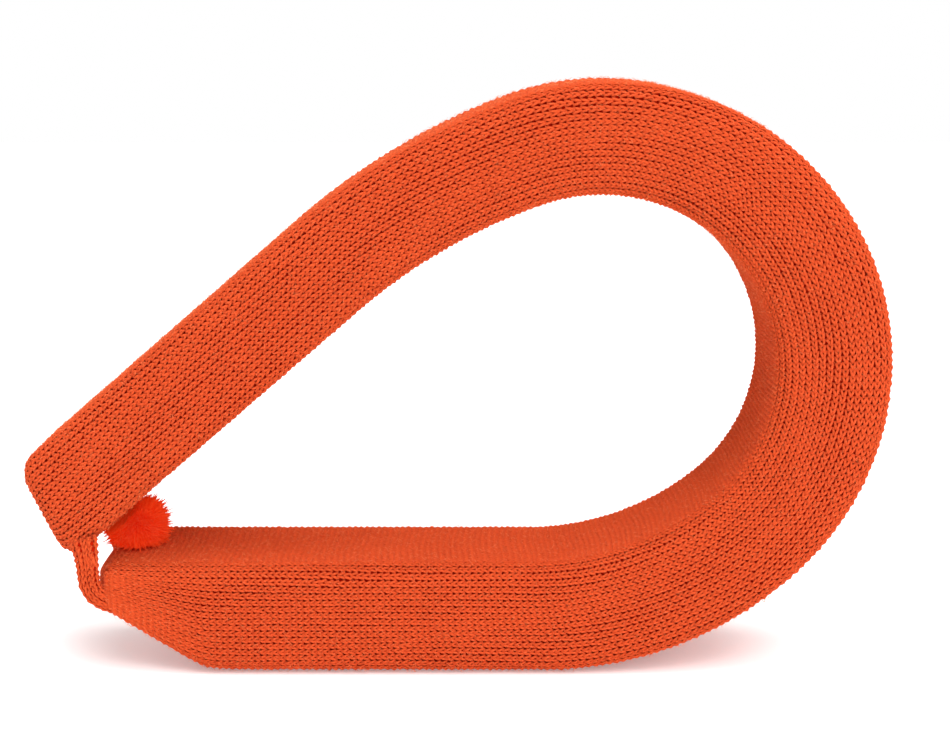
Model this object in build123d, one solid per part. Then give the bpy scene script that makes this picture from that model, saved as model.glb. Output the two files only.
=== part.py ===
from build123d import *
import os
from math import cos, radians, sin

# Training bumper: a foam bar in a knitted sleeve, bent into a teardrop loop and tied at its apex.
# Millimetres. X runs from the apex to the bow, Y across the bar, Z up from the floor.
# The origin is under the middle of the loop, on the floor.

# The bar
bar_width = 60.0
edge_radius = 6.0
knit_wall = 2.5

# The loop's outer side, from the heel up over the bow to the upper arm: (radius, turn in degrees)
outer_start = 33.6
outer_bends = [(134.0, 46.6), (105.0, 154.0), (260.0, 20.2)]

# The loop's inner side
lower_arm_height = 42.8
inner_start = 28.5
inner_bends = [(102.0, 39.0), (63.5, 160.1), (203.0, 21.7)]
arm_angle = 40.8

# The lower arm's end, with its rising toe
lower_end_x = -129.0
toe_x = -93.6
toe_angle = 33.0
lower_corner_radius = 7.0
toe_radius = 30.0

# The upper arm's end
upper_end_x = -158.0
upper_end_z = 72.0
upper_end_angle = 63.4
upper_tip_radius = 7.0
upper_heel_radius = 9.0

# Where the lengths of the loop meet
lower_split_x = 10.0
upper_arm_length = 138.0

# End panels and their seams
panel_depth = 6.0
seam_width = 1.8
seam_depth = 1.0

# Neck straps
strap_left = -139.9
strap_right = -131.1
strap_thickness = 3.6
strap_top = 54.0
strap_foot_z = 35.0
strap_clearance = 0.4
stitch_diameter = 1.6
stitch_length = 4.0
stitch_depth = 0.5
stitch_z = 44.5
stitch_count = 3
stitch_pitch = 2.4

# Travel of the upper arm about the neck, in degrees
closing_turn = 6.0
opening_turn = 5.0

# Pompom
pompom_x = -119.5
pompom_radius = 9.0
pompom_half_height = 7.3
pompom_clearance = 0.3
binding_radius = 2.4
binding_width = 3.0
yarn_diameter = 1.2
knot_diameter = 3.6
knot_lean = 120.0


# A point in the side view where two lines cross. Each line is a point and an angle in degrees.
def crossing(first, first_angle, second, second_angle):
    across = (cos(radians(first_angle)), sin(radians(first_angle)))
    other = (cos(radians(second_angle)), sin(radians(second_angle)))
    gap = (second[0] - first[0], second[1] - first[1])
    turn = across[0] * other[1] - across[1] * other[0]
    run = (gap[0] * other[1] - gap[1] * other[0]) / turn
    return (first[0] + run * across[0], first[1] + run * across[1])


# A point moved to the left of a heading by a distance, in the side view.
def beside(point, angle, distance):
    return (point[0] - distance * sin(radians(angle)), point[1] + distance * cos(radians(angle)))


# The tangent arcs of one side of the loop, from a start that heads along +X, with the last heading.
def bent_run(start, bends, inset):
    arcs = []
    point = start
    heading = 0.0
    for radius, turn in bends:
        tangent = (cos(radians(heading)), sin(radians(heading)))
        arc = JernArc(start=point, tangent=tangent, radius=radius - inset, arc_size=turn)
        arcs.append(arc)
        end = arc @ 1
        point = (end.X, end.Y)
        heading += turn
    return arcs, point, heading


# The side view of the whole bar, drawn in by an inset all round.
def bar_outline(inset):
    bottom = (outer_start, inset)
    top = (inner_start, lower_arm_height - inset)
    outer_arcs, outer_end, heading = bent_run(bottom, outer_bends, inset)
    inner_arcs, inner_end, inner_heading = bent_run(top, inner_bends, -inset)
    end_face = beside((upper_end_x, upper_end_z), -upper_end_angle, inset)
    tip = crossing(outer_end, arm_angle, end_face, -upper_end_angle)
    corner = crossing(inner_end, arm_angle, end_face, -upper_end_angle)
    toe_line = beside((toe_x, 0.0), -toe_angle, inset)
    toe = crossing((0.0, inset), 0.0, toe_line, -toe_angle)
    low_corner = crossing((lower_end_x + inset, 0.0), 90.0, toe_line, -toe_angle)
    high_corner = (lower_end_x + inset, lower_arm_height - inset)
    run = [Line(toe, bottom)]
    run += outer_arcs
    run += [Line(outer_end, tip), Line(tip, corner), Line(corner, inner_end)]
    run += inner_arcs
    run += [Line(top, high_corner), Line(high_corner, low_corner), Line(low_corner, toe)]
    outline = make_face(Wire(run))
    rounds = [
        (tip, upper_tip_radius - inset),
        (corner, upper_heel_radius - inset),
        (high_corner, lower_corner_radius - inset),
        (low_corner, lower_corner_radius - inset),
        (toe, toe_radius - inset),
    ]
    for place, radius in rounds:
        vertex = outline.vertices().sort_by_distance(Vector(place[0], place[1], 0.0))[0]
        outline = fillet(vertex, radius)
    return outline


# The whole bar as a solid, drawn in by an inset all round, with its long edges rounded.
def bar_solid(inset):
    half_width = bar_width / 2 - inset
    block = extrude(Plane.XZ * bar_outline(inset), amount=half_width, both=True)
    rims = block.edges().filter_by(lambda edge: abs(edge.center().Y) > half_width - 0.01)
    return fillet(rims, edge_radius - inset)


bar = bar_solid(0.0)
core = bar_solid(knit_wall)
under_seam = bar_solid(seam_depth)
knit = bar - core

# The hinge line of the neck is the centre of the upper arm's rounded heel.
_, inner_end, _ = bent_run((inner_start, lower_arm_height), inner_bends, 0.0)
heel_under = beside(inner_end, arm_angle, upper_heel_radius)
heel_behind = beside((upper_end_x, upper_end_z), -upper_end_angle, upper_heel_radius)
neck = crossing(heel_under, arm_angle, heel_behind, -upper_end_angle)
neck_axis = Axis((neck[0], 0, neck[1]), (0, 1, 0))

# Zones that divide the loop into its lower arm, its upper arm and its bow.
zone_side = 400.0
zone_height = 90.0
gap_middle = (lower_arm_height + neck[1] - upper_heel_radius) / 2
neck_place = Pos(neck[0], 0, neck[1])
lower_zone = Pos(lower_split_x, 0, gap_middle) * Box(
    zone_side, zone_side, zone_side, align=(Align.MAX, Align.CENTER, Align.MAX)
)
upper_zone = neck_place * Rot(0, -arm_angle, 0) * Pos(upper_arm_length, 0, 0) * Box(
    zone_side, zone_side, zone_height, align=(Align.MAX, Align.CENTER, Align.CENTER)
)
upper_zone -= lower_zone


# The slab of space behind an end face, from one depth to another.
def end_slab(point, lean, near, far):
    slab = Box(far - near, zone_side, zone_height, align=(Align.MIN, Align.CENTER, Align.CENTER))
    return Pos(point[0], 0, point[1]) * Rot(0, lean, 0) * Pos(near, 0, 0) * slab


# Each arm's knitted skin: the sleeve, the end panel that closes it, and the yarn seam between
# them, which lies in a groove all round the rim.
def arm_skin(zone, point, lean):
    skin = knit & zone
    groove = end_slab(point, lean, panel_depth - seam_width / 2, panel_depth + seam_width / 2)
    seam = (bar - under_seam) & groove & zone
    cap = end_slab(point, lean, -panel_depth, panel_depth)
    panel = (skin & cap) - seam
    sleeve = skin - cap - seam
    return sleeve, panel, seam


lower_face = (lower_end_x, lower_arm_height / 2)
upper_face = (upper_end_x, upper_end_z)
upper_lean = upper_end_angle - 90.0
sleeve_lower, end_panel_lower, end_seam_lower = arm_skin(lower_zone, lower_face, 0.0)
sleeve_upper, end_panel_upper, end_seam_upper = arm_skin(upper_zone, upper_face, upper_lean)
sleeve_bow = knit - lower_zone - upper_zone

# The foam bar inside, cut where the sleeve is.
core_lower = core & lower_zone
core_upper = core & upper_zone
core_bow = core - lower_zone - upper_zone

# The knitted straps run up from the lower arm's toe, one at each face of the bar, to the upper
# arm's heel. They stay clear of that heel while it turns.
turning_heel = bar_solid(-strap_clearance) & upper_zone
swept_heel = turning_heel
for turn in (closing_turn, -opening_turn):
    swept_heel += turning_heel.rotate(neck_axis, turn)

strap_foot = crossing((toe_x, 0.0), -toe_angle, (strap_left, 0.0), 90.0)
strap_end_x = lower_end_x + lower_corner_radius
strap_end = crossing((toe_x, 0.0), -toe_angle, (strap_end_x, 0.0), 90.0)
strap_shape = make_face(
    Polyline(
        (strap_left, strap_top),
        strap_foot,
        strap_end,
        (strap_end_x, strap_foot_z),
        (strap_right, strap_foot_z),
        (strap_right, strap_top),
        close=True,
    )
)
foot_vertex = strap_shape.vertices().sort_by_distance(Vector(strap_foot[0], strap_foot[1], 0.0))[0]
strap_shape = fillet(foot_vertex, lower_corner_radius)


# One strap, flush with a face of the bar, and the yarn stitches let into its top.
def neck_strap(side):
    middle = side * (bar_width - strap_thickness) / 2
    band = Pos(0, middle, 0) * extrude(Plane.XZ * strap_shape, amount=strap_thickness / 2, both=True)
    band = band - bar - swept_heel
    band = band.solids().sort_by(SortBy.VOLUME)[-1]
    stitches = []
    for number in range(stitch_count):
        across = (number - (stitch_count - 1) / 2) * stitch_pitch
        x = (strap_left + strap_right) / 2 + across
        y = side * (bar_width / 2 - stitch_depth)
        rod = Pos(x, y, stitch_z) * Cylinder(stitch_diameter / 2, stitch_length)
        stitches += (rod & band).solids()
    stitches = Compound(children=stitches)
    return band - stitches, stitches


neck_strap_front, neck_stitches_front = neck_strap(-1)
neck_strap_rear, neck_stitches_rear = neck_strap(1)

# The pompom sits just clear of the lower arm. Its tie is one yarn: knotted behind the end panel,
# it comes out through the panel's rounded top edge and runs to the binding round the tuft's middle.
pompom_middle = Vector(pompom_x, 0, lower_arm_height + pompom_clearance + pompom_half_height)
round_middle = Vector(lower_end_x + lower_corner_radius, 0, lower_arm_height - lower_corner_radius)
way_out = Vector(cos(radians(knot_lean)), 0, sin(radians(knot_lean)))
knot_middle = round_middle + way_out * (lower_corner_radius - knit_wall - knot_diameter / 2)
tie_root = round_middle + way_out * (lower_corner_radius + yarn_diameter)
tie_way = (pompom_middle - tie_root).normalized()


# A straight piece of yarn from one point to another.
def yarn(start, end):
    run = end - start
    rod = Cylinder(yarn_diameter / 2, run.length, align=(Align.CENTER, Align.CENTER, Align.MIN))
    return Plane(origin=start, z_dir=run) * rod


pompom_knot = Pos(knot_middle) * Sphere(knot_diameter / 2)
pompom_knot += yarn(knot_middle, tie_root)
pompom_knot += Pos(tie_root) * Sphere(yarn_diameter * 0.6)
end_panel_lower -= pompom_knot
core_lower -= pompom_knot

pompom_binding = Plane(origin=pompom_middle, z_dir=tie_way) * Cylinder(binding_radius, binding_width)
pompom_tie = yarn(tie_root + tie_way * yarn_diameter, pompom_middle - tie_way * binding_width / 2)
pompom_tuft = Pos(pompom_middle) * scale(Sphere(1.0), by=(pompom_radius, pompom_radius, pompom_half_height))
pompom_tuft -= pompom_binding
pompom_tuft -= pompom_tie

parts = {
    "sleeve_lower": sleeve_lower,
    "sleeve_bow": sleeve_bow,
    "sleeve_upper": sleeve_upper,
    "core_lower": core_lower,
    "core_bow": core_bow,
    "core_upper": core_upper,
    "end_panel_lower": end_panel_lower,
    "end_panel_upper": end_panel_upper,
    "end_seam_lower": end_seam_lower,
    "end_seam_upper": end_seam_upper,
    "neck_strap_front": neck_strap_front,
    "neck_strap_rear": neck_strap_rear,
    "neck_stitches_front": neck_stitches_front,
    "neck_stitches_rear": neck_stitches_rear,
    "pompom_tuft": pompom_tuft,
    "pompom_binding": pompom_binding,
    "pompom_tie": pompom_tie,
    "pompom_knot": pompom_knot,
}

os.makedirs("parts", exist_ok=True)
for name, shape in parts.items():
    export_step(shape, f"parts/{name}.step")

print(f"neck hinge at X {neck[0]:.3f}, Z {neck[1]:.3f}")
print(f"pompom swing at X {tie_root.X:.3f}, Z {tie_root.Z:.3f}")
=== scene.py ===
from math import cos, pi, radians, sin, tan

import bpy
import numpy as np
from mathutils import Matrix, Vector


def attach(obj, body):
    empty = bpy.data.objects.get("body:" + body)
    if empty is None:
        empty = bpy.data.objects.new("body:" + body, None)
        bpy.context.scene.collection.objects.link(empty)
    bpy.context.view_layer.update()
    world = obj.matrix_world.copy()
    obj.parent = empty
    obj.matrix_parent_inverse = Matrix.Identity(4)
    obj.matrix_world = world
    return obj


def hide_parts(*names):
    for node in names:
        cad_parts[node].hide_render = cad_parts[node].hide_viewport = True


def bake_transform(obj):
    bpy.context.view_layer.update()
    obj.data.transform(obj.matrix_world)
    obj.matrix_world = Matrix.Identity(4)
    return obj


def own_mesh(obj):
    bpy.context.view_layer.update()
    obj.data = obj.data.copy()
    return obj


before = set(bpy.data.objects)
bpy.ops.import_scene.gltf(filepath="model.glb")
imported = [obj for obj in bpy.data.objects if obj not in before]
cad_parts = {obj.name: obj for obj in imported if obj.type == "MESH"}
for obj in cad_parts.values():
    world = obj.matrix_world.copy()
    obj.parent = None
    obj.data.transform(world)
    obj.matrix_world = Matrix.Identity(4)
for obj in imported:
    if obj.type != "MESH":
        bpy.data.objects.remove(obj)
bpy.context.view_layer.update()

# The studio: a sheet of white paper that glows a little, under a white sky, with a broad soft light
# overhead and a weaker soft box at the front right. The camera has a 67 mm lens and looks down.
scene = bpy.context.scene
scene.view_settings.view_transform = "Standard"
studio_middle = Vector((0.0, 0.0, 0.1))


def softbox(name, place, size, power):
    lamp = bpy.data.lights.new(name, "AREA")
    lamp.shape = "RECTANGLE"
    lamp.size, lamp.size_y = size
    lamp.energy = power
    holder = bpy.data.objects.new(name, lamp)
    holder.location = place
    holder.rotation_euler = (studio_middle - Vector(place)).to_track_quat("-Z", "Y").to_euler()
    scene.collection.objects.link(holder)


softbox("front_softbox", (0.5, -1.15, 1.2), (0.9, 0.9), 9.5)
overhead = bpy.data.lights.new("overhead_light", "SUN")
overhead.energy = 2.6
overhead.angle = radians(60.0)
overhead_holder = bpy.data.objects.new("overhead_light", overhead)
overhead_holder.rotation_euler = (radians(10.0), radians(8.0), 0.0)
scene.collection.objects.link(overhead_holder)

camera_dip = 11.13
lens = bpy.data.cameras.new("camera")
lens.sensor_width = 36.0
lens.lens = 67.1
lens.clip_start = 0.01
camera = bpy.data.objects.new("camera", lens)
camera.location = (0.0073, -0.6562, 0.2385)
camera.rotation_euler = (radians(90.0 - camera_dip), 0.0, 0.0)
scene.collection.objects.link(camera)
scene.camera = camera


# A socket in a finish, with the sums that are done on it.
class Tone:
    def __init__(self, tree, socket=None):
        self.tree = tree
        self.socket = socket

    def node(self, kind, settings, sockets, output=0):
        made = self.tree.nodes.new(kind)
        for name, value in settings.items():
            setattr(made, name, value)
        for name, value in sockets.items():
            if isinstance(value, Tone):
                self.tree.links.new(value.socket, made.inputs[name])
            else:
                made.inputs[name].default_value = value
        return Tone(self.tree, made.outputs[output])

    def maths(self, operation, first, second):
        return self.node("ShaderNodeMath", {"operation": operation}, {0: first, 1: second})

    def __add__(self, other):
        return self.maths("ADD", self, other)

    def __radd__(self, other):
        return self.maths("ADD", other, self)

    def __sub__(self, other):
        return self.maths("SUBTRACT", self, other)

    def __rsub__(self, other):
        return self.maths("SUBTRACT", other, self)

    def __mul__(self, other):
        return self.maths("MULTIPLY", self, other)

    def __rmul__(self, other):
        return self.maths("MULTIPLY", other, self)


sky_light = 0.6
world = bpy.data.worlds.new("studio")
world.use_nodes = True
sky = Tone(world.node_tree)
seen = sky.node("ShaderNodeLightPath", {}, {}, "Is Camera Ray")
white_sky = world.node_tree.nodes["Background"]
white_sky.inputs["Color"].default_value = (1.0, 1.0, 1.0, 1.0)
strength = seen * (1.0 - sky_light) + sky_light
world.node_tree.links.new(strength.socket, white_sky.inputs["Strength"])
scene.world = world


def finish(name, recipe):
    made = bpy.data.materials.new(name)
    made.use_nodes = True
    shader = made.node_tree.nodes["Principled BSDF"]
    for socket, value in recipe(Tone(made.node_tree)).items():
        if isinstance(value, Tone):
            made.node_tree.links.new(value.socket, shader.inputs[socket])
        else:
            shader.inputs[socket].default_value = value
    return made


def speckle(tones, size, detail):
    place = tones.node("ShaderNodeTexCoord", {}, {}, "Object")
    sockets = {"Vector": place, "Scale": 1.0 / size, "Detail": detail}
    return tones.node("ShaderNodeTexNoise", {}, sockets, "Fac")


def between(tones, share, first, second):
    sockets = {0: share, 6: (*first, 1.0), 7: (*second, 1.0)}
    return tones.node("ShaderNodeMix", {"data_type": "RGBA"}, sockets, 2)


def raised(tones, height, depth):
    return tones.node("ShaderNodeBump", {}, {"Height": height, "Distance": depth}, "Normal")


def piece_of(name, points, faces, material):
    made = bpy.data.meshes.new(name)
    made.vertices.add(len(points))
    made.vertices.foreach_set("co", np.asarray(points, np.float32).ravel())
    made.loops.add(faces.size)
    made.loops.foreach_set("vertex_index", faces.astype(np.int32).ravel())
    made.polygons.add(len(faces))
    made.polygons.foreach_set("loop_start", np.arange(len(faces), dtype=np.int32) * faces.shape[1])
    made.polygons.foreach_set("use_smooth", np.ones(len(faces), bool))
    made.update(calc_edges=True)
    made.materials.append(material)
    piece = bpy.data.objects.new(name, made)
    scene.collection.objects.link(piece)
    return piece


def paper_recipe(tones):
    grain = speckle(tones, 0.004, 2.0)
    return {
        "Base Color": between(tones, grain, (0.94, 0.94, 0.94), (0.97, 0.97, 0.97)),
        "Roughness": 0.6,
        "Specular IOR Level": 0.2,
        "Emission Color": (1.0, 1.0, 1.0, 1.0),
        "Emission Strength": 0.26,
    }


paper_half = 3.0
paper_corners = [(-paper_half, -paper_half, 0), (paper_half, -paper_half, 0)]
paper_corners += [(paper_half, paper_half, 0), (-paper_half, paper_half, 0)]
paper = piece_of("paper", paper_corners, np.array([[0, 1, 2, 3]]), finish("paper", paper_recipe))

# The foam bar: one straight length of off-white closed-cell foam, bent round into the loop, so its
# two arms and its bow are one run. It is cut square at one end and at a slant at the other.
MM = 0.001
bar_width = 60.0
bar_height = 42.8
bar_corner = 6.5
bar_crown = 0.8
outer_start, outer_bends = 33.6, [(134.0, 46.6), (105.0, 154.0), (260.0, 20.2)]
inner_start, inner_bends = 28.5, [(102.0, 39.0), (63.5, 160.1), (203.0, 21.7)]
arm_angle = 220.8
lower_end = -130.4
toe_x, toe_slope, toe_softness = -93.6, tan(radians(33.0)), 2.6
upper_end, upper_end_angle = np.array([-158.0, 72.0]), -63.4
lower_split_x, upper_arm_length = 10.0, 138.0
neck = np.array([-140.419, 56.992])
foam_depth, foam_spacing, foam_sides = 2.6, 3.0, 96
bar_end_rounds = (4.0, 7.0)
lower_stations, bow_stations, upper_stations = 80, 240, 60
late_station = 220


def side_point(start_x, start_z, bends, heading):
    x, z, done = start_x, start_z, 0.0
    for radius, turn in bends:
        part = min(max(heading - done, 0.0), turn)
        x += radius * (sin(radians(done + part)) - sin(radians(done)))
        z += radius * (cos(radians(done)) - cos(radians(done + part)))
        done += turn
    return np.array([x, z])


def heading_of(angle):
    return np.array([cos(radians(angle)), sin(radians(angle))])


def end_corner(point):
    ways = np.array([heading_of(arm_angle), -heading_of(upper_end_angle)]).T
    return point + np.linalg.solve(ways, upper_end - point)[0] * heading_of(arm_angle)


def toe_height(x):
    rise = (toe_x - x) * toe_slope
    return 0.5 * (rise + (rise * rise + toe_softness**2) ** 0.5)


outer_side, inner_side = [], []
for share in np.linspace(0.0, 1.0, lower_stations, endpoint=False):
    low_x = lower_end + share * (outer_start - lower_end)
    outer_side.append((low_x, toe_height(low_x)))
    inner_side.append((lower_end + share * (inner_start - lower_end), bar_height))
for heading in np.linspace(0.0, arm_angle, bow_stations, endpoint=False):
    outer_side.append(side_point(outer_start, 0.0, outer_bends, heading))
    inner_side.append(side_point(inner_start, bar_height, inner_bends, heading))
arm_top = side_point(outer_start, 0.0, outer_bends, arm_angle)
arm_under = side_point(inner_start, bar_height, inner_bends, arm_angle)
for share in np.linspace(0.0, 1.0, upper_stations):
    outer_side.append(arm_top + share * (end_corner(arm_top) - arm_top))
    inner_side.append(arm_under + share * (end_corner(arm_under) - arm_under))


# A run is any soft bar: its two sides, its middle and half width across, and how its ends round.
def run_of(outer, inner, middle_y, half_y, corner, end_rounds, crown):
    outer, inner = np.array(outer), np.array(inner)
    steps = np.linalg.norm(np.diff((outer + inner) / 2, axis=0), axis=1)
    run = {"outer": outer, "inner": inner, "half": half_y, "crown": crown}
    run["middle"] = np.broadcast_to(middle_y, len(outer))
    run["at"] = np.concatenate([[0.0], np.cumsum(steps)])
    run["deep"] = np.linalg.norm(outer - inner, axis=1).max() / 2
    run["corner"], run["rounds"] = corner, end_rounds
    run["extra"] = [radius * (pi / 2 - 1.0) for radius in end_rounds]
    run["length"] = run["at"][-1] + sum(run["extra"])
    return run


# A section of rounded corners, from the middle of its front face round by its outer side.
def section(half_a, half_b, radius, around):
    bend = radius * pi / 2
    corners = [(1, -1, -90.0), (1, 1, 0.0), (-1, 1, 90.0), (-1, -1, 180.0)]
    flat_a, flat_b = half_a - radius, half_b - radius
    walk = np.mod(around, 1.0) * (4 * flat_a + 4 * flat_b + 4 * bend)
    a, b = walk.copy(), np.full_like(walk, -half_b)
    normal_a, normal_b = 0.0 * walk, 0.0 * walk - 1.0
    start = flat_a
    for (side_a, side_b, first), flat in zip(corners, (flat_b, flat_a, flat_b, flat_a)):
        turned = radians(first) + np.clip(walk - start, 0.0, bend) / radius
        past = np.maximum(walk - start - bend, 0.0)
        on = walk > start
        normal_a[on], normal_b[on] = np.cos(turned)[on], np.sin(turned)[on]
        a[on] = (side_a * flat_a + radius * np.cos(turned) - np.sin(turned) * past)[on]
        b[on] = (side_b * flat_b + radius * np.sin(turned) + np.cos(turned) * past)[on]
        start += bend + 2 * flat
    return a, b, normal_a, normal_b


way_reach = 2.0


# Points on a run and their outward normals: along in mm over both rounded ends, around from 0 to
# 1 round the section, and sink in mm under the surface.
def skin(run, along, around, sink):
    (near_round, far_round), (near_extra, far_extra) = run["rounds"], run["extra"]
    last = run["at"][-1]
    near = np.clip((near_round + near_extra - along) / near_round, 0.0, pi / 2)
    far = np.clip((along - run["length"] + far_round + far_extra) / far_round, 0.0, pi / 2)
    tilt = far - near
    bow_round = np.where(near > 0, near_round, far_round)
    station = np.clip(along - near_extra, near_round, last - far_round)
    station = station - near_round * np.sin(near) + far_round * np.sin(far)
    inset = bow_round * (1.0 - np.cos(tilt)) + sink * np.cos(tilt)
    outer = np.stack([np.interp(station, run["at"], run["outer"][:, k]) for k in (0, 1)], -1)
    inner = np.stack([np.interp(station, run["at"], run["inner"][:, k]) for k in (0, 1)], -1)
    centres = (run["outer"] + run["inner"]) / 2
    later, sooner = station + way_reach, station - way_reach
    ahead = np.stack([np.interp(later, run["at"], centres[:, k]) for k in (0, 1)], -1)
    behind = np.stack([np.interp(sooner, run["at"], centres[:, k]) for k in (0, 1)], -1)
    half = np.linalg.norm(outer - inner, axis=-1) / 2
    out = (outer - inner) / (2 * half[:, None])
    way = ahead - behind
    way = way - out * (way * out).sum(-1)[:, None]
    way /= np.linalg.norm(way, axis=-1)[:, None]
    a, b, normal_a, normal_b = section(run["deep"], run["half"], run["corner"], around)
    crown = run["crown"] * normal_b * np.abs(normal_b) * (1.0 - (a / run["deep"]) ** 2)
    a = a * (half - inset) / run["deep"]
    b = (b + crown) * (run["half"] - inset) / run["half"]
    flat = (outer + inner) / 2 + out * a[:, None] - way * (sink * np.sin(tilt))[:, None]
    across = np.interp(station, run["at"], run["middle"]) + b
    points = np.stack([flat[:, 0], across, flat[:, 1]], -1)
    side = out * (normal_a * np.cos(tilt))[:, None] + way * np.sin(tilt)[:, None]
    normals = np.stack([side[:, 0], normal_b * np.cos(tilt), side[:, 1]], -1)
    return points, normals / np.linalg.norm(normals, axis=-1)[:, None]


# A smooth closed skin over a length of a run, with its two ends closed.
def lining(name, run, first, last, sink, spacing, sides, material):
    rows = max(int((last - first) / spacing), 2)
    along = np.repeat(np.linspace(first, last, rows), sides)
    around = np.tile(np.arange(sides) / sides, rows)
    points, _ = skin(run, along, around, np.full(len(along), sink))
    corner = np.arange((rows - 1) * sides)
    nearby = corner // sides * sides + (corner + 1) % sides
    faces = [np.stack([corner, nearby, nearby + sides, corner + sides], -1)]
    for row, turned in ((0, -1), (rows - 1, 1)):
        loop = row * sides + np.arange(sides)
        left, right = loop[: sides // 2], loop[: sides // 2 - 1 : -1]
        strip = np.stack([left[:-1], left[1:], right[1:], right[:-1]], -1)
        faces.append(strip[:, ::turned])
    return piece_of(name, points * MM, np.concatenate(faces), material)


bar = run_of(outer_side, inner_side, 0.0, bar_width / 2, bar_corner, bar_end_rounds, bar_crown)
station_x = ((bar["outer"] + bar["inner"]) / 2)[:, 0]
station_z = ((bar["outer"] + bar["inner"]) / 2)[:, 1]
reach = (np.stack([station_x, station_z], -1) - neck) @ -heading_of(arm_angle)
lower_at = bar["at"][:lower_stations]
lower_cut = np.interp(lower_split_x, station_x[:lower_stations], lower_at) + bar["extra"][0]
upper_start = late_station + np.argmax(reach[late_station:] < upper_arm_length)
upper_cut = bar["at"][upper_start] + bar["extra"][0]


def foam_recipe(tones):
    cells = speckle(tones, 0.0008, 3.0)
    patches = speckle(tones, 0.02, 1.0)
    tone = cells * 0.6 + patches * 0.4
    return {
        "Base Color": between(tones, tone, (0.62, 0.55, 0.43), (0.84, 0.79, 0.68)),
        "Roughness": 0.9,
        "Normal": raised(tones, cells, 0.0004),
    }


foam = finish("closed_cell_foam", foam_recipe)


# The bow gives when the arms move; here its pieces are only fixed in place, with their placement
# baked into their points.
def bend_with_bow(piece):
    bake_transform(piece)


lengths = {
    "lower": (0.0, lower_cut),
    "bow": (lower_cut, upper_cut),
    "upper": (upper_cut, bar["length"]),
}
for part, (first, last) in lengths.items():
    block = lining(f"foam_{part}", bar, first, last, foam_depth, foam_spacing, foam_sides, foam)
    if part == "bow":
        bend_with_bow(block)
    else:
        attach(block, f"{part}_arm")
    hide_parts(f"core_{part}")

# The knitted sleeve: orange woollen yarn in stocking stitch, knitted in the round as one tube and
# drawn over the foam, so its columns of stitches follow the bar. Each round is one closed yarn.
wales = 75
courses = 302
points_per_stitch = 8
yarn_sides = 5
loop_lean = 1.85
loop_narrow = 0.36
loop_reach = 1.7
loop_depth = 0.55
yarn_thick, yarn_broad = 0.5, 0.52
knit_middle = 1.17
rounds_per_piece = 31


def sleeve_yarn_recipe(tones):
    tuft = speckle(tones, 0.0007, 3.0)
    fibres = speckle(tones, 0.00025, 2.0)
    patch = speckle(tones, 0.03, 1.0)
    crest_shade = tones.node("ShaderNodeAttribute", {"attribute_name": "crest_shade"}, {}, "Fac")
    # Painted shade and light: the yarn is darker where it lies deep between stitches and lighter on
    # its crests.
    tone = crest_shade * 0.75 + patch * 0.15 + tuft * 0.3 - 0.08
    return {
        "Base Color": between(tones, tone, (0.46, 0.014, 0.001), (0.98, 0.127, 0.03)),
        "Roughness": 0.88,
        "Specular IOR Level": 0.08,
        "Sheen Weight": 0.08,
        "Sheen Roughness": 0.5,
        "Sheen Tint": (1.0, 0.6, 0.4, 1.0),
        "Normal": raised(tones, tuft * 0.6 + fibres * 0.4, 0.0013),
    }


sleeve_yarn = finish("orange_yarn", sleeve_yarn_recipe)


# A yarn along a line of points, flatter towards the given normals than across them.
def yarn(centre, normals, closed, thick, broad, sides=yarn_sides):
    if closed:
        way = np.roll(centre, -1, 0) - np.roll(centre, 1, 0)
    else:
        way = np.gradient(centre, axis=0)
    way /= np.linalg.norm(way, axis=1)[:, None]
    across = np.cross(way, normals)
    across /= np.linalg.norm(across, axis=1)[:, None]
    up = np.cross(across, way)
    turn = 2 * pi * np.arange(sides) / sides
    thick, broad = np.broadcast_to(thick, len(centre)), np.broadcast_to(broad, len(centre))
    points = centre[:, None] + up[:, None] * (thick[:, None] * np.cos(turn))[:, :, None]
    points = points + across[:, None] * (broad[:, None] * np.sin(turn))[:, :, None]
    count = len(centre) if closed else len(centre) - 1
    rows = np.arange(count)[:, None] * sides
    side, beside = np.arange(sides), (np.arange(sides) + 1) % sides
    after = (rows + sides) % (len(centre) * sides)
    faces = np.stack([rows + side, rows + beside, after + beside, after + side], -1)
    return points.reshape(-1, 3), faces.reshape(-1, 4)


# Several yarns as one piece, pressed flat where they rest on the floor. Each has how far its
# points stand out, kept as a crest value that paints shade: the yarn is darker deep in its hollows
# and lighter on its crests.
def yarn_piece(name, yarns, crests, material, sides=yarn_sides):
    points, faces, total = [], [], 0
    for ring, quads in yarns:
        points.append(ring)
        faces.append(quads + total)
        total += len(ring)
    points = np.concatenate(points)
    points[:, 2] = np.maximum(points[:, 2], 0.0)
    piece = piece_of(name, points * MM, np.concatenate(faces), material)
    lift = np.tile(np.cos(2 * pi * np.arange(sides) / sides) * yarn_thick, total // sides)
    height = np.repeat(np.concatenate(crests), sides) + lift
    share = 0.5 + height / (2 * (loop_depth + yarn_thick))
    crest_shade = piece.data.attributes.new("crest_shade", "FLOAT", "POINT")
    crest_shade.data.foreach_set("value", np.clip(share, 0.0, 1.0).astype(np.float32))
    return piece


stitch_seed = np.random.default_rng(3)


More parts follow.
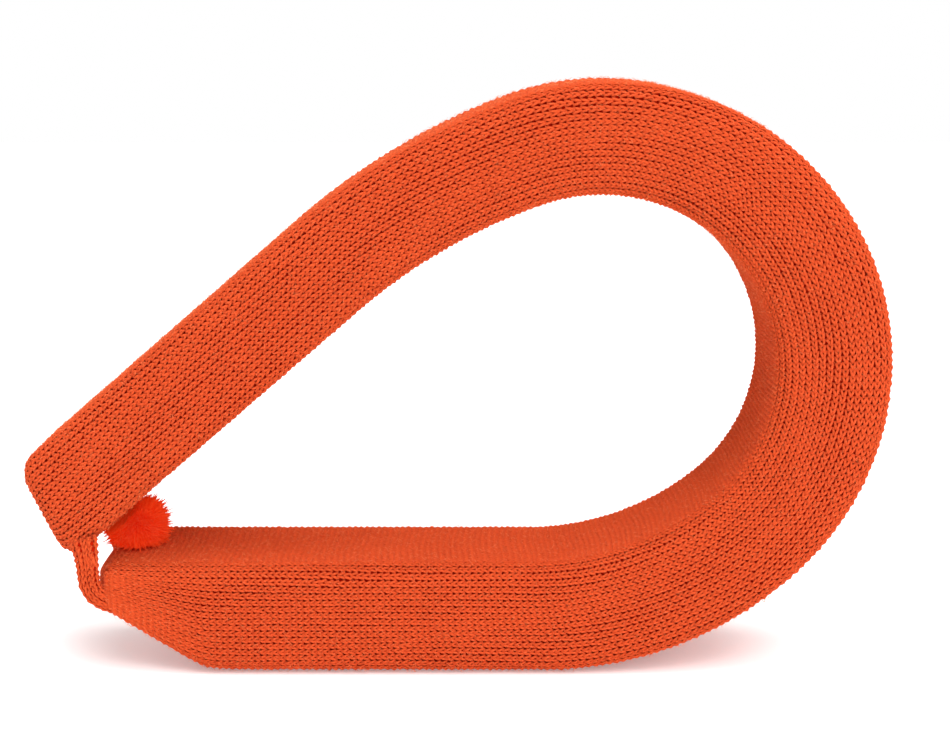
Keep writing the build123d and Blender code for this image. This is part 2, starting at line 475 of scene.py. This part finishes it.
# One round of stocking stitch: the yarn goes up and down from loop to loop, with the legs of each
# stitch outside and its head and feet tucked behind. Sway and drift are the slow unevenness of the
# whole fabric, and slack, lift and slide are that of single stitches.
def knit_round(run, number, step, stitches, depth):
    turn = np.arange(stitches * points_per_stitch) * 2 * pi / points_per_stitch
    leg = turn + loop_lean * np.sin(2 * turn) - loop_narrow * np.sin(turn)
    place, lap = (number + 0.5) * step, turn / stitches
    sway = 0.11 * np.sin(place / 17.0 + 9 * lap) + 0.14 * np.sin(place / 47.0 + 5 * lap)
    stitch, loose = turn / (2 * pi), stitch_seed.normal(size=(3, stitches + 1))
    loose[:, -1] = loose[:, 0]
    slack, lift, slide = [np.interp(stitch, np.arange(stitches + 1), row) for row in loose]
    around = (leg / (2 * pi) + sway + 0.04 * slide) / stitches
    drift = 0.5 * np.sin(place / 29.0 + 4 * lap) + 0.12 * np.sin(turn / 2.3 + number * 2.4)
    along = place + loop_reach * step / course_height * np.cos(turn) * (1.0 + 0.09 * slack) + drift
    height = -loop_depth * np.cos(2 * turn) * (1.0 + 0.2 * lift)
    surface, normals = skin(run, along, around, np.full(len(along), depth))
    centre = surface + normals * height[:, None]
    width = np.linalg.norm(run["outer"] - run["inner"], axis=1)
    slim = np.interp(place, run["at"], width) / (2 * run["deep"])
    plump = (1.0 + 0.07 * np.sin(turn / 1.7 + number * 3.3)) * (0.45 + 0.55 * slim)
    return yarn(centre, normals, True, yarn_thick * plump, yarn_broad * plump), height


wale_width = 2.56
course_height = bar["length"] / courses
knit_ends = {
    "lower": (0, round(lower_cut / course_height)),
    "bow": (round(lower_cut / course_height), round(upper_cut / course_height)),
    "upper": (round(upper_cut / course_height), courses),
}


def knitted(piece, part):
    if part == "bow":
        bend_with_bow(piece)
    else:
        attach(piece, f"{part}_arm")
    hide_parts(f"sleeve_{part}")


for part, (first, last) in knit_ends.items():
    for start in range(first, last, rounds_per_piece):
        numbers = range(start, min(start + rounds_per_piece, last))
        rounds = [knit_round(bar, number, course_height, wales, knit_middle) for number in numbers]
        yarns, crests = [made for made, _ in rounds], [height for _, height in rounds]
        knitted(yarn_piece(f"knit_{part}_{start:03d}", yarns, crests, sleeve_yarn), part)

# The yarn's halo: loose ends of its fibres, which stand up a little all over the tube. They are
# coloured paler than the yarn, a painted sheen along the tube's rims.
halo_count = {"lower": 4200, "bow": 9000, "upper": 3400}
halo_thick = 0.06
halo_lean = 1.6
fibre_sides = 3
halo_seed = np.random.default_rng(11)


def halo_sheen_recipe(tones):
    # Painted sheen: the loose fibres are a paler orange than the yarn they come from.
    patch = speckle(tones, 0.004, 2.0)
    return {
        "Base Color": between(tones, patch, (0.97, 0.16, 0.045), (1.0, 0.32, 0.13)),
        "Roughness": 0.8,
        "Specular IOR Level": 0.1,
    }


loose_fibre_painted_sheen = finish("loose_fibre_painted_sheen", halo_sheen_recipe)
for part, (first, last) in lengths.items():
    count = halo_count[part]
    root_along = halo_seed.uniform(first, last, count)
    root_around = halo_seed.uniform(0.0, 1.0, count)
    lean_along = halo_seed.uniform(-halo_lean, halo_lean, count)
    lean_around = halo_seed.uniform(-halo_lean, halo_lean, count) / (wales * wale_width)
    rise = halo_seed.uniform(0.1, 1.0, count)
    stages = []
    for share, lift in ((0.0, -0.6), (0.5, 0.3), (1.0, 0.55)):
        along, around = root_along + share * lean_along, root_around + share * lean_around
        along = np.clip(along, first, last)
        points, normals = skin(bar, along, around, -lift * rise)
        points[:, 2] = np.maximum(points[:, 2], 0.1)
        stages.append(points)
    strands = np.stack(stages, 1)
    taper = halo_thick * np.array([1.0, 0.9, 0.4])
    ends = []
    for strand, normal in zip(strands, normals):
        ends.append(yarn(strand, np.tile(normal, (3, 1)), False, taper, taper, fibre_sides))
    crests = [np.full(3, loop_depth)] * count
    halo = yarn_piece(f"halo_{part}", ends, crests, loose_fibre_painted_sheen, fibre_sides)
    knitted(halo, part)

# The back of the knitting: the purl side of the same tube, a closed layer of loop heads in the
# shade under the stitches, coloured a darker red than the yarn as painted shade. It lies on the
# foam.
purl_depth, purl_spacing, purl_sides = 1.95, 2.0, 168


def shaded_purl_recipe(tones):
    place = tones.node("ShaderNodeTexCoord", {}, {}, "Object")
    rows = tones.node("ShaderNodeTexVoronoi", {}, {"Vector": place, "Scale": 450.0}, "Distance")
    fibres = speckle(tones, 0.0006, 3.0)
    # Painted shade: the purl side is a darker red than the same yarn in front of it.
    tone = rows * 0.7 + fibres * 0.3
    return {
        "Base Color": between(tones, tone, (0.5, 0.01, 0.001), (0.72, 0.022, 0.002)),
        "Roughness": 0.95,
        "Specular IOR Level": 0.05,
        "Normal": raised(tones, rows, 0.0005),
    }


shaded_purl = finish("shaded_purl_side", shaded_purl_recipe)
for part, (first, last) in lengths.items():
    back = lining(f"shaded_purl_side_{part}", bar, first, last, purl_depth, purl_spacing, purl_sides, shaded_purl)
    knitted(back, part)

# The end panels: a rectangle of the same stocking stitch closes each end of the tube. It was
# knitted in rows, and the foam behind pushes it out a little in the middle.
panel_step = 2.3
panel_rim = 1.6
panel_back = 2.0
pad_thick = 1.5
pad_rows, pad_columns = 15, 31
lower_dome, upper_dome = 4.3, 1.2


# A closed pad of purl side behind a panel, domed like it, in the darker purl colour of painted
# shade.
def panel_lining(part, middle, up, outward, half_up, half_side, dome):
    up_share, side_share = np.linspace(-1.0, 1.0, pad_rows), np.linspace(-1.0, 1.0, pad_columns)
    rise, side = [grid.ravel() for grid in np.meshgrid(up_share, side_share, indexing="ij")]
    front = dome * (1.0 - rise**4) * (1.0 - side**4) - panel_back
    layers = []
    for out in (front, np.full_like(front, -panel_back - pad_thick)):
        flat = middle + up * (half_up * rise)[:, None] + outward * out[:, None]
        layers.append(np.stack([flat[:, 0], half_side * side, flat[:, 1]], -1))
    behind = pad_rows * pad_columns
    grid = np.arange(behind).reshape(pad_rows, pad_columns)
    quads = np.stack([grid[:-1, :-1], grid[:-1, 1:], grid[1:, 1:], grid[1:, :-1]], -1)
    quads = quads.reshape(-1, 4)
    edge = np.concatenate([grid[0, :-1], grid[:-1, -1], grid[-1, :0:-1], grid[:0:-1, 0]])
    beyond = np.roll(edge, -1)
    rim = np.stack([edge, edge + behind, beyond + behind, beyond], -1)
    faces = np.concatenate([quads, quads[:, ::-1] + behind, rim])
    pad = piece_of(f"end_panel_{part}_purl", np.concatenate(layers) * MM, faces, shaded_purl)
    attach(pad, f"{part}_arm")
    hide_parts(f"end_panel_{part}")


def panel(part, low, high, outward, inset, dome):
    middle, span = (low + high) / 2, np.linalg.norm(high - low)
    up = (high - low) / span
    half_up, half_side = span / 2 - inset + panel_rim, bar_width / 2 - inset + panel_rim
    rows = max(round(2 * half_up / panel_step), 2)
    stitches = round(2 * half_side / wale_width)
    turn = np.arange(stitches * points_per_stitch + 1) * 2 * pi / points_per_stitch
    row_reach = np.clip(0.7 * half_up / rows, 0.9, loop_reach * 0.8)
    width = half_side / pi / stitches
    yarns, crests = [], []
    for row in range(rows):
        climb = (row + 0.5) / rows * 2 * half_up - half_up
        leg = turn + loop_lean * np.sin(2 * turn) - loop_narrow * np.sin(turn)
        side = width * leg - half_side
        rise = np.clip(climb + row_reach * 2 * np.cos(turn), -half_up, half_up)
        height = -loop_depth * np.cos(2 * turn)
        side_share = np.clip(side / half_side, -1.0, 1.0)
        swell = dome * (1.0 - (rise / half_up) ** 4) * (1.0 - side_share**4)
        flat = middle + up * rise[:, None] + outward * (swell + height - knit_middle)[:, None]
        centre = np.stack([flat[:, 0], side, flat[:, 1]], -1)
        normals = np.tile([outward[0], 0.0, outward[1]], (len(turn), 1))
        yarns.append(yarn(centre, normals, False, yarn_thick, yarn_broad))
        crests.append(height)
    panel_lining(part, middle, up, outward, half_up, half_side, dome)
    piece = yarn_piece(f"end_panel_{part}_rows", yarns, crests, sleeve_yarn)
    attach(piece, f"{part}_arm")
    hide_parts(f"end_panel_{part}")


low_tip = np.array([lower_end, toe_height(lower_end)])
low_top = np.array([lower_end, bar_height])
panel("lower", low_tip, low_top, np.array([-1.0, 0.0]), bar["rounds"][0], lower_dome)
slant = heading_of(upper_end_angle)
upper_out = np.array([slant[1], -slant[0]])
panel("upper", bar["inner"][-1], bar["outer"][-1], upper_out, bar["rounds"][1], upper_dome)

# The end seams: the panel is overcast to the rim of the tube with one length of the same yarn,
# in close slanting stitches all round.
overcast_turns = 52
overcast_reach = 1.7
overcast_lift = 0.5
overcast_points = 10
overcast_thick, overcast_broad = 0.7, 0.75
lower_seam, upper_seam = 1.6, bar["length"] - 2.0


def overcast(part, along_at):
    turn = np.arange(overcast_turns * overcast_points) * 2 * pi / overcast_points
    around = (turn / (2 * pi) + 0.14 * np.sin(turn)) / overcast_turns
    along = along_at + overcast_reach * np.sin(turn)
    surface, normals = skin(bar, along, around, np.full(len(turn), knit_middle * 0.9))
    centre = surface + normals * (overcast_lift * np.cos(turn))[:, None]
    made = yarn(centre, normals, True, overcast_thick, overcast_broad)
    piece = yarn_piece(f"overcast_{part}", [made], [overcast_lift * np.cos(turn)], sleeve_yarn)
    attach(piece, f"{part}_arm")
    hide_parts(f"end_seam_{part}")


overcast("lower", lower_seam)
overcast("upper", upper_seam)

# The neck straps: a narrow knitted tab at each face of the bar. It leaves the lower arm's rising
# toe, turns up past the end panel, and is stitched into the heel of the upper arm.
strap_line = np.array([(-120, 24.6), (-126, 26.9), (-131.4, 29.4), (-134.9, 33.4), (-135.7, 38.4)])
strap_line = np.concatenate([strap_line, [(-135.7, 43.0), (-136.2, 48.0), (-137.4, 54.0)]])
strap_halves = [3.6, 4.2, 4.4, 4.5, 4.4, 4.5, 5.1, 6.0]
strap_sinks = [4.5, 1.8, 0.4, 0.0, 0.0, 0.0, 0.0, 0.0]
strap_thickness = 3.4
strap_proud = 0.5
strap_wales = 9
strap_step = 2.3
strap_corner, strap_end_rounds = 1.6, (1.6, 1.6)
strap_depth, strap_purl_depth = 1.0, 1.35
strap_purl_spacing, strap_purl_sides = 1.5, 40
strap_away, strap_fine = np.linspace(0.0, 1.0, len(strap_line)), np.linspace(0.0, 1.0, 61)


def eased(values):
    fine = np.interp(strap_fine, strap_away, values)
    for _ in range(14):
        fine[1:-1] = (fine[:-2] + 2 * fine[1:-1] + fine[2:]) / 4
    return fine


strap_curve = np.stack([eased(strap_line[:, 0]), eased(strap_line[:, 1])], -1)
strap_half, strap_sink = eased(strap_halves)[:, None], eased(strap_sinks)
strap_way = np.gradient(strap_curve, axis=0)
strap_way /= np.linalg.norm(strap_way, axis=1)[:, None]
strap_side = np.stack([-strap_way[:, 1], strap_way[:, 0]], -1)
for name, side in (("front", -1), ("rear", 1)):
    middle_y = side * ((bar_width - strap_thickness) / 2 + strap_proud - strap_sink)
    reach_out = strap_side * strap_half
    edges = (strap_curve - reach_out, strap_curve + reach_out)
    strap = run_of(*edges, middle_y, strap_thickness / 2, strap_corner, strap_end_rounds, 0.0)
    count = round(strap["length"] / strap_step)
    step = strap["length"] / count
    rounds = [knit_round(strap, number, step, strap_wales, strap_depth) for number in range(count)]
    yarns, crests = [made for made, _ in rounds], [height for _, height in rounds]
    tab = yarn_piece(f"neck_strap_{name}_rounds", yarns, crests, sleeve_yarn)
    # The strap is lined with the darker purl colour, painted shade.
    purl_settings = (strap_purl_depth, strap_purl_spacing, strap_purl_sides, shaded_purl)
    inside = lining(f"neck_strap_{name}_purl", strap, 0.0, strap["length"], *purl_settings)
    for piece in (tab, inside):
        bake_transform(piece)
        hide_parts(f"neck_strap_{name}")

    # Three short stitches of the same yarn hold the strap where it meets the heel.
    arch = np.linspace(0.0, pi, 9)
    yarns, crests = [], []
    for number in range(3):
        x = -135.5 + (number - 1) * 2.4 + 0.5 * np.cos(arch)
        z = 44.6 - 2.0 * np.cos(arch)
        y = side * (bar_width / 2 - 1.1 + 0.75 * np.sin(arch))
        centre = np.stack([x, y, z], -1)
        yarns.append(yarn(centre, np.tile([0.0, side, 0.0], (len(arch), 1)), False, 0.6, 0.65))
        crests.append(0.7 * np.sin(arch))
    stitches = yarn_piece(f"neck_stitches_{name}_yarn", yarns, crests, sleeve_yarn)
    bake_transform(stitches)
    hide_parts(f"neck_stitches_{name}")

# The pompom: a tuft of red-orange wool cut to an even length and bound round its middle. It sits
# in the notch between the arms, pressed a little flat by them.
pompom_middle = np.array([-122.2, 0.0, 50.4])
pompom_radius = 11.0
fibre_count = 9400
fibre_thick = 0.24
notch_clearance = 0.4
heel_radius, arm_slope = 9.0, radians(40.8)
swing_x = -126.1
swing_turns = [radians(-25.0), 0.0, radians(25.0)]
under_point = neck + heel_radius * np.array([sin(arm_slope), -cos(arm_slope)])
under_slope = tan(arm_slope)
floor_z = bar_height + notch_clearance
wool_seed = np.random.default_rng(7)


def glowing_wool_recipe(tones):
    tuft = speckle(tones, 0.0018, 3.0)
    crest_shade = tones.node("ShaderNodeAttribute", {"attribute_name": "crest_shade"}, {}, "Fac")
    # Painted shade: the wool is darker deep in the tuft and lighter towards the fibre tips.
    tone = crest_shade * 0.8 + tuft * 0.25
    return {
        "Base Color": between(tones, tone, (0.74, 0.018, 0.002), (1.0, 0.1, 0.012)),
        "Roughness": 0.9,
        "Specular IOR Level": 0.15,
        "Sheen Weight": 0.2,
        "Sheen Roughness": 0.5,
        "Sheen Tint": (1.0, 0.5, 0.3, 1.0),
        # Painted light: the wool glows a little, so the tuft stays bright in the shaded notch.
        "Emission Color": between(tones, tone, (0.5, 0.01, 0.001), (1.0, 0.07, 0.006)),
        "Emission Strength": 0.2,
        "Normal": raised(tones, tuft, 0.0003),
    }


glowing_wool = finish("pompom_wool", glowing_wool_recipe)
aim = wool_seed.normal(size=(fibre_count, 3))
aim /= np.linalg.norm(aim, axis=1)[:, None]
sway = wool_seed.normal(size=(fibre_count, 3)) * 1.7
cut = pompom_radius * wool_seed.uniform(0.8, 1.05, fibre_count)
out = np.linspace(0.5, 1.0, 3)
taper = fibre_thick * np.array([1.0, 1.0, 0.4])
yarns, crests = [], []
for number in range(fibre_count):
    centre = pompom_middle + aim[number] * (cut[number] * out)[:, None]
    centre = centre + sway[number] * (out**2)[:, None]
    from_tie = centre - [swing_x, 0.0, 0.0]
    ahead, aside = from_tie[:, 0], from_tie[:, 1]
    swung = [ahead * cos(swing) - aside * sin(swing) for swing in swing_turns]
    roof_x = swing_x + np.min(swung, axis=0)
    roof_z = under_point[1] + (roof_x - under_point[0]) * under_slope - notch_clearance * 2
    room = np.minimum(roof_z, pompom_middle[2] + pompom_radius)
    highest = np.maximum(room - 0.2 * out, floor_z + 0.5)
    centre[:, 2] = np.clip(centre[:, 2], floor_z + 0.2 * out, highest)
    side = np.cross(aim[number], (0.3, 0.5, 0.8))
    yarns.append(yarn(centre, np.tile(side, (3, 1)), False, taper, taper, fibre_sides))
    # These values paint shade: each fibre is darker near the middle of the tuft.
    crests.append((out * 2.6 - 1.7) * (loop_depth + yarn_thick))
tuft = yarn_piece("pompom_wool_tuft", yarns, crests, glowing_wool, fibre_sides)

# The heart of the tuft, where its strands are packed too close to see between them. It carries no
# depth values, so it takes the dark end of the wool colour, painted shade, and it glows like the
# tuft.
heart_rows, heart_sides = 12, 24
heart_half, heart_drop = np.array([7.8, 7.8, 6.0]), [0.0, 0.0, 0.8]
turns_down = np.linspace(0.0, pi, heart_rows + 1)
turns_round = np.arange(heart_sides) * 2 * pi / heart_sides
turn_z, turn_y = np.meshgrid(turns_down, turns_round, indexing="ij")
ball = [np.sin(turn_z) * np.cos(turn_y), np.sin(turn_z) * np.sin(turn_y), -np.cos(turn_z)]
ball = pompom_middle - heart_drop + np.stack(ball, -1).reshape(-1, 3) * heart_half
corner = np.arange(heart_rows * heart_sides)
nearby = corner // heart_sides * heart_sides + (corner + 1) % heart_sides
ball_faces = np.stack([corner, nearby, nearby + heart_sides, corner + heart_sides], -1)
heart = piece_of("pompom_wool_heart", ball * MM, ball_faces, glowing_wool)
for piece in (tuft, heart):
    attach(piece, "pompom")
    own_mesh(piece)
    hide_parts("pompom_tuft")

# The tuft's binding and tie: one strand of wool goes twice round the middle of the tuft, and runs
# back to the end panel, where it is knotted inside.
tie_root = np.array([swing_x, 0.0, 42.9])
tie_length, tie_thick, binding_radius = 7.0, 0.55, 2.0
tie_way = pompom_middle - tie_root
tie_way /= np.linalg.norm(tie_way)
tie_side = np.array([0.0, 1.0, 0.0])
tie_up = np.cross(tie_way, tie_side)
turn = np.linspace(0.0, 4 * pi, 33)
coil = pompom_middle + np.outer(turn / (2 * pi) - 1.0, tie_way) * 1.0
round_out = np.outer(np.cos(turn), tie_side) + np.outer(np.sin(turn), tie_up)
wound = yarn(coil + round_out * binding_radius, round_out, False, tie_thick, 0.6)
binding = yarn_piece("pompom_binding_yarn", [wound], [0.0 * turn], glowing_wool)
tie_share = np.linspace(0.0, 1.0, 7)
tie_line = tie_root + np.outer(tie_share, tie_way) * tie_length
drawn = yarn(tie_line, np.tile(tie_side, (7, 1)), False, tie_thick, tie_thick)
tie = yarn_piece("pompom_tie_yarn", [drawn], [0.0 * tie_share], glowing_wool)
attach(binding, "pompom")
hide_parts("pompom_binding")
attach(tie, "pompom")
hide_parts("pompom_tie")
knot_turn = np.linspace(0.0, 2 * pi, 25)
knot_middle = tie_root + np.array([1.2, 0.0, -2.2])
knot_path = np.stack(
    [1.1 * np.sin(2 * knot_turn), 1.1 * np.cos(3 * knot_turn), 1.1 * np.sin(3 * knot_turn)], -1
)
knotted = yarn(knot_middle + knot_path, np.tile([0.1, 0.2, 1.0], (25, 1)), False, 0.6, 0.6)
knot = yarn_piece("pompom_knot_yarn", [knotted], [0.0 * knot_turn], glowing_wool)
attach(knot, "lower_arm")
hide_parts("pompom_knot")
